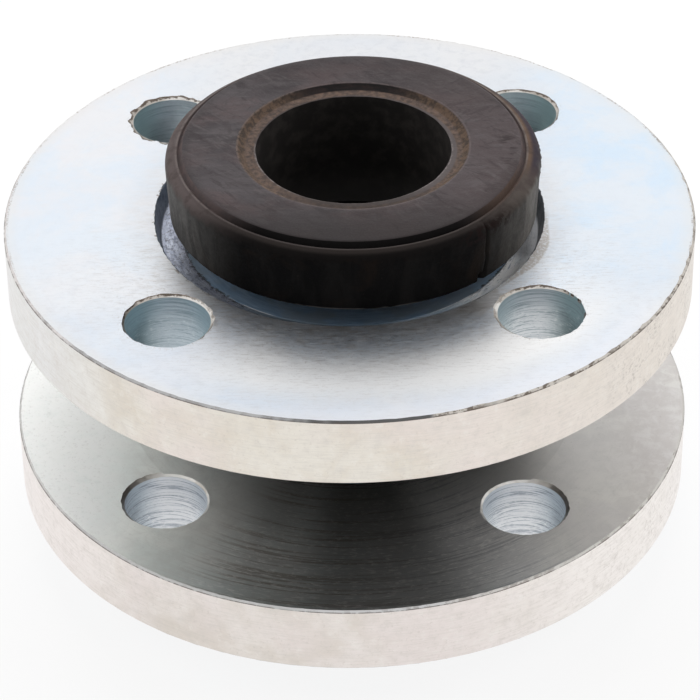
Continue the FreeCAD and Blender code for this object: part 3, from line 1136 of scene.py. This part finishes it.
def bellows_profile():
    """The closed section of the rubber, in mm, heights from the joint's foot."""
    middle = HEIGHT / 2
    root_radius = NECK_RADIUS + ROOT_OUTER
    offset = root_radius - ARCH_CENTRE
    root_height = math.sqrt((ARCH_OUTER + ROOT_OUTER) ** 2 - offset ** 2)
    meet = math.degrees(math.atan2(root_height, offset))
    root = (root_radius, middle + root_height)
    crown = (ARCH_CENTRE, middle)

    upper = arc_points(crown, ARCH_OUTER, 0, meet, 20)[1:-1]
    upper += arc_points(root, ROOT_OUTER, meet + 180, 180, 10)
    upper += bead_outline() + face_outline()
    upper += spread(upper[-1], (TUBE_RADIUS, root[1]), 6)
    upper += arc_points(root, ROOT_INNER, 180, meet + 180, 14)
    upper += arc_points(crown, ARCH_INNER, meet, 0, 14)[1:-1]
    outer_crown = (ARCH_CENTRE + ARCH_OUTER, middle)
    inner_crown = (ARCH_CENTRE + ARCH_INNER, middle)
    lower = [(radius, HEIGHT - height) for radius, height in reversed(upper)]
    return [outer_crown] + upper + [inner_crown] + lower


def side_flaws(x, y, z, angle):
    """How far the bead's side stands out: a crease, slow waves, torn flash and crumbs."""
    bend = 0.9 * noise.noise(Vector((z * 0.3, 2, 0)))
    crease = near(angle, -47.6 + bend, 0.9) * min(1, (z - SIDE_FOOT) / 1.5, (94.2 - z) / 1.2)
    tear = max(0, wave(x, y, 0.9, z * 0.4)) * near(angle, -40, 13) * near(z, 92.6, 1.7)
    crumb = max(0, wave(x, y, 1.1, z * 1.1) - 0.08) * near(angle, 1, 8) * near(z, 89.5, 4)
    return 0.08 * wave(x, y, 0.12, z * 0.12) - 0.5 * crease - 0.8 * tear + 1.4 * crumb


def other_flaws(x, y, z, radius, angle):
    """How far other places stand out: a flash notch, a wavy lip, a flat back, a full left, a pinch."""
    ring = smooth_share(radius, 33, 37.5) * (1 - smooth_share(radius, 38.3, 40.2))
    move = -PINCH * smooth_share(x / radius, 0.5, 1) * ring * smooth_share(z, *PINCH_HEIGHTS)
    if 38 < radius < 40.2 and 79 < z < 81.5:
        move -= 0.9 * near(angle, -49.4, 1.6)
    if radius < 22.2 and z > 92.5:
        move += 0.12 * wave(x, y, 0.35, 4)
    if radius > 30 and z > 79:
        move -= 0.6 * max(0, y / radius) ** 2 * min(1, (z - 79) / 8)
        move += 0.35 * max(0, -x / radius) ** 4 * smooth_share(radius, 38.6, 39.6)
    return move


def weather_bellows(bellows):
    """Small flaws of the moulding, and the lean of the upper bead."""
    for vertex in bellows.data.vertices:
        x, y, z = (value / MM for value in vertex.co)
        radius = math.hypot(x, y)
        angle = math.degrees(math.atan2(y, x))
        move = other_flaws(x, y, z, radius, angle)
        if radius > SIDE_INSIDE and z > SIDE_FOOT:
            move += side_flaws(x, y, z, angle)
        if move:
            widen(vertex, min(radius + move, WIDEST_CRUMB) / radius)
        vertex.co.x += LEAN * MM * smooth_share(z, *LEAN_HEIGHTS)


def bellows_region(radius, height):
    """The number of the material for a face of the rubber, by its middle."""
    if radius < TUBE_RADIUS + 0.1:
        return TUBE
    if min(height, HEIGHT - height) < SHOULDER_DEPTH and radius < FACE_RADIUS:
        return SEALING_FACE
    return SKIN


def keep_rest_places(obj):
    """Stores where each point is at rest, so that the tints stay on the rubber when it bends."""
    places = obj.data.attributes.new(REST_PLACE, "FLOAT_VECTOR", "POINT")
    for place, vertex in zip(places.data, obj.data.vertices):
        place.vector = vertex.co


def bellows_turns():
    """Angles in radians: half a degree apart where the flaws are, in front to the right, else wider."""
    fine = [FLAWS_START + 0.5 * step for step in range(144)]
    coarse = [FLAWS_START + 72 + 288 * step / 238 for step in range(238)]
    return [math.radians(angle) for angle in fine + coarse]


def make_bellows():
    bellows = lathe("bellows_body", bellows_profile(), bellows_turns())
    outward(bellows)
    for material in (rubber_face("rubber_faces"), rubber_side("rubber_skin"), rubber_bore("rubber_tube")):
        bellows.data.materials.append(material)
    for face in bellows.data.polygons:
        x, y, z = (value / MM for value in face.center)
        face.material_index = bellows_region(math.hypot(x, y), z)
    weather_bellows(bellows)
    keep_rest_places(bellows)
    smooth(bellows, 40)
    return bellows


# Floor, light and camera
def seen_by(tree, *rays):
    """One for a ray of one of the named kinds, and zero for any other."""
    path = tree.nodes.new("ShaderNodeLightPath")
    share = path.outputs[rays[0]]
    for ray in rays[1:]:
        either = tree.nodes.new("ShaderNodeMath")
        either.operation = "MAXIMUM"
        tree.links.new(share, either.inputs[0])
        tree.links.new(path.outputs[ray], either.inputs[1])
        share = either.outputs[0]
    return share


def make_floor():
    """A pale floor that looks white to the camera and to the metal, and keeps a soft shadow."""
    far = FLOOR_REACH
    corners = [(-far, -far, 0), (far, -far, 0), (far, far, 0), (-far, far, 0)]
    floor = mesh_object("floor", corners, [range(4)])
    floor.location.z = -FLOOR_DROP * MM
    material = bpy.data.materials.new("floor_paint")
    material.use_nodes = True
    tree = material.node_tree
    shader = tree.nodes["Principled BSDF"]
    put(shader.inputs, {"Base Color": (0.86, 0.86, 0.86, 1), "Roughness": 0.9, "Specular IOR Level": 0.1})
    glow = tree.nodes.new("ShaderNodeEmission")
    put(glow.inputs, {"Color": (1, 1, 1, 1), "Strength": 1})
    share = tree.nodes.new("ShaderNodeMath")
    share.operation = "MULTIPLY"
    share.inputs[1].default_value = 0.85
    tree.links.new(seen_by(tree, "Is Camera Ray", "Is Glossy Ray"), share.inputs[0])
    blend = tree.nodes.new("ShaderNodeMixShader")
    for source, target in zip((share, shader, glow), blend.inputs):
        tree.links.new(source.outputs[0], target)
    tree.links.new(blend.outputs[0], tree.nodes["Material Output"].inputs["Surface"])
    floor.data.materials.append(material)


def make_world():
    """White for the camera and for reflections, and a moderate level for all other light."""
    world = bpy.data.worlds.new("studio")
    bpy.context.scene.world = world
    world.use_nodes = True
    tree = world.node_tree
    background = tree.nodes["Background"]
    put(background.inputs, {"Color": (1, 1, 1, 1)})
    level = tree.nodes.new("ShaderNodeMapRange")
    put(level.inputs, {"To Min": 0.35, "To Max": 1})
    seen = seen_by(tree, "Is Camera Ray", "Is Glossy Ray", "Is Transmission Ray")
    tree.links.new(seen, level.inputs["Value"])
    tree.links.new(level.outputs[0], background.inputs["Strength"])


def make_lamp(name, place, size, power):
    """A soft square lamp, in metres, that points at the object and doesn't show in the metal."""
    lamp = bpy.data.lights.new(name, "AREA")
    lamp.shape = "SQUARE"
    lamp.size = size
    lamp.energy = power
    obj = bpy.data.objects.new(name, lamp)
    obj.location = place
    obj.rotation_euler = (Vector((0, 0, 0.05)) - Vector(place)).to_track_quat("-Z", "Y").to_euler()
    obj.visible_glossy = False
    bpy.context.scene.collection.objects.link(obj)


def make_camera():
    elevation = math.radians(CAMERA_ELEVATION)
    roll = math.radians(CAMERA_ROLL)
    spin = Matrix.Rotation(math.radians(CAMERA_TURN), 4, "Z")
    target = Vector((0, 0, UPPER_FACE))
    back, height = CAMERA_DISTANCE * math.cos(elevation), CAMERA_DISTANCE * math.sin(elevation)
    place = spin @ Vector((CAMERA_ASIDE, -back, height)) + target
    aim = spin @ Vector(CAMERA_AIM) + target
    forward = (aim - place).normalized()
    right = forward.cross(Vector((0, 0, 1))).normalized()
    up = right.cross(forward)
    right_rolled = math.cos(roll) * right + math.sin(roll) * up
    up_rolled = -math.sin(roll) * right + math.cos(roll) * up
    turned = Matrix((right_rolled, up_rolled, -forward)).transposed()

    camera = bpy.data.cameras.new("camera")
    camera.sensor_width = CAMERA_SENSOR
    camera.lens = CAMERA_LENS
    obj = bpy.data.objects.new("camera", camera)
    obj.matrix_world = Matrix.Translation(place * MM) @ turned.to_4x4()
    bpy.context.scene.collection.objects.link(obj)
    bpy.context.scene.camera = obj


# The whole
upper_materials = flange_materials("upper", 0, UPPER_FACE, UPPER_RIM, UPPER_HOLE, UPPER_EDGE)
upper = make_flange("flange_upper", 3, upper_materials)
place_flange(upper, UPPER_FACE, False, 0)
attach(upper, "top_flange")
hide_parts("upper_flange")

lower_top = LOWER_FACE + FLANGE_THICKNESS
lower_materials = flange_materials("lower", LOWER_TURN, lower_top, LOWER_RIM, LOWER_HOLE, LOWER_EDGE)
lower = make_flange("flange_lower", 17, lower_materials)
place_flange(lower, LOWER_FACE, True, LOWER_TURN)
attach(lower, "bottom_flange")
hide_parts("lower_flange")

bellows = make_bellows()
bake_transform(bellows)
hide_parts("rubber_bellows")

make_floor()
make_world()
make_lamp("lamp_back", (0, 0.9, 1.2), 1.2, 16)
make_lamp("lamp_left", (-1.2, 0.1, 0.8), 1, 10)
make_lamp("lamp_right", (1.2, 0.1, 0.8), 1, 10)
make_camera()

bpy.context.scene.view_settings.view_transform = "Standard"
